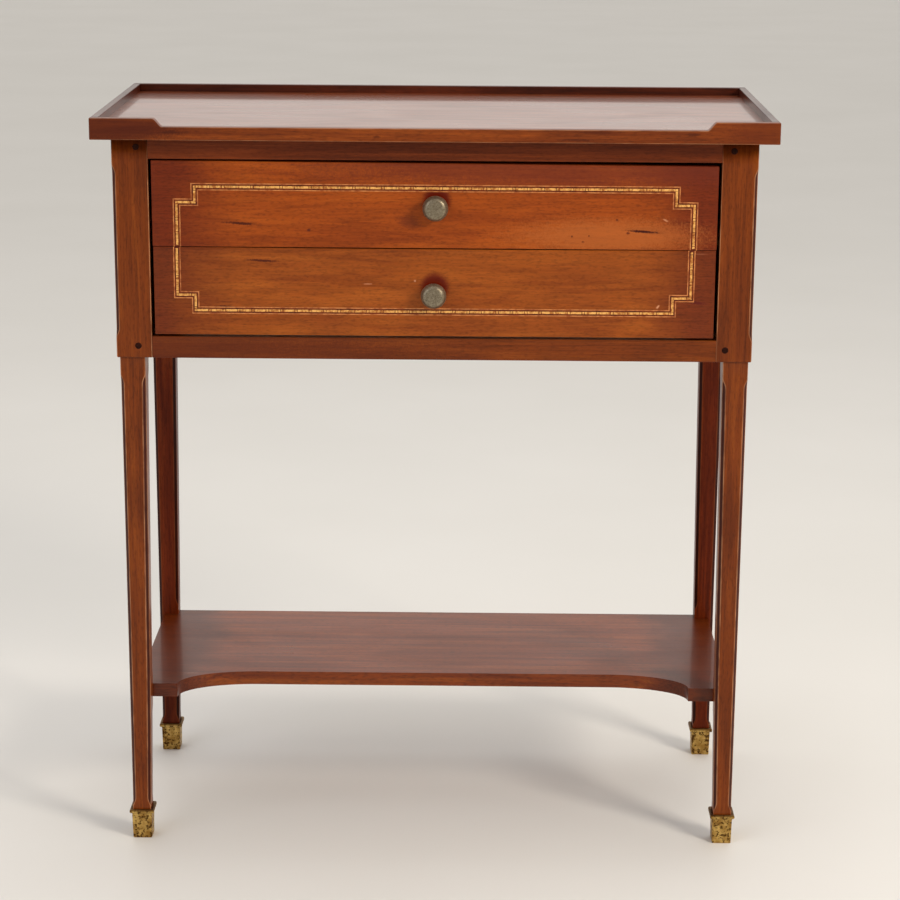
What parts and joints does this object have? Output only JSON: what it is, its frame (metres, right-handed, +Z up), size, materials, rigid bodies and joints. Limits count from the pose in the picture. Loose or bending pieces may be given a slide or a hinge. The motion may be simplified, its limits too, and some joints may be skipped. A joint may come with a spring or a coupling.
{
  "type": "side table with drawers",
  "caption": "Small tray-top side table with inlaid drawers, square tapered legs, brass foot cups and a scooped lower shelf.",
  "frame": {"origin": "on the floor under the middle of the tray", "axes": "+Z up, -Y towards the front with the drawers, +X to the right for someone facing the front"},
  "size_m": [0.62, 0.3, 0.705],
  "materials": {
    "mahogany_frame": "french polished, satin gloss",
    "mahogany_top": "french polished, high gloss",
    "mahogany_shelf": "french polished, high gloss",
    "mahogany_panel": "waxed",
    "cherry_front": "french polished veneer, worn",
    "oak_lining": "planed, unfinished",
    "boxwood_line": "inlaid and polished",
    "maple_tessera": "inlaid and polished",
    "ebonised_ground": "inlaid and polished",
    "aged_nickel": "tarnished nickel plate",
    "tarnished_brass": "tarnished and pitted",
    "dark_peg": "end grain, stained",
    "steel_screw": "plain steel"
  },
  "bodies": {
    "case": {"back_panel": "mahogany_panel", "bottom_rail": "mahogany_frame", "drawer_stops": "oak_lining", "gallery_back": "mahogany_top", "gallery_left": "mahogany_top", "gallery_right": "mahogany_top", "leg_front_left": "mahogany_frame", "leg_front_right": "mahogany_frame", "leg_rear_left": "mahogany_frame", "leg_rear_right": "mahogany_frame", "lower_runner_left": "oak_lining", "lower_runner_right": "oak_lining", "rail_pegs": "dark_peg", "runner_screws": "steel_screw", "sabot_front_left": "tarnished_brass", "sabot_front_right": "tarnished_brass", "sabot_pins": "tarnished_brass", "sabot_rear_left": "tarnished_brass", "sabot_rear_right": "tarnished_brass", "shelf": "mahogany_shelf", "shelf_dowels": "dark_peg", "side_panel_left": "mahogany_panel", "side_panel_right": "mahogany_panel", "top_cleat_left": "oak_lining", "top_cleat_right": "oak_lining", "top_rail": "mahogany_frame", "tray_board": "mahogany_top", "tray_front_edge": "mahogany_top", "tray_screws": "steel_screw", "upper_runner_left": "oak_lining", "upper_runner_right": "oak_lining"},
    "upper_drawer": {"upper_drawer_back": "oak_lining", "upper_drawer_bottom": "oak_lining", "upper_drawer_front": "cherry_front", "upper_drawer_side_left": "oak_lining", "upper_drawer_side_right": "oak_lining", "upper_inlay_dashes": "maple_tessera", "upper_inlay_ground": "ebonised_ground", "upper_inlay_lines": "boxwood_line", "upper_knob": "aged_nickel", "upper_knob_bolt": "steel_screw"},
    "lower_drawer": {"lower_drawer_back": "oak_lining", "lower_drawer_bottom": "oak_lining", "lower_drawer_front": "cherry_front", "lower_drawer_side_left": "oak_lining", "lower_drawer_side_right": "oak_lining", "lower_inlay_dashes": "maple_tessera", "lower_inlay_ground": "ebonised_ground", "lower_inlay_lines": "boxwood_line", "lower_knob": "aged_nickel", "lower_knob_bolt": "steel_screw"}
  },
  "joints": [
    {"name": "upper_drawer_slide", "type": "slide", "parent": "case", "child": "upper_drawer", "axis": [0, -1, 0], "range_m": [0, 0.165]},
    {"name": "lower_drawer_slide", "type": "slide", "parent": "case", "child": "lower_drawer", "axis": [0, -1, 0], "range_m": [0, 0.165]}
  ]
}
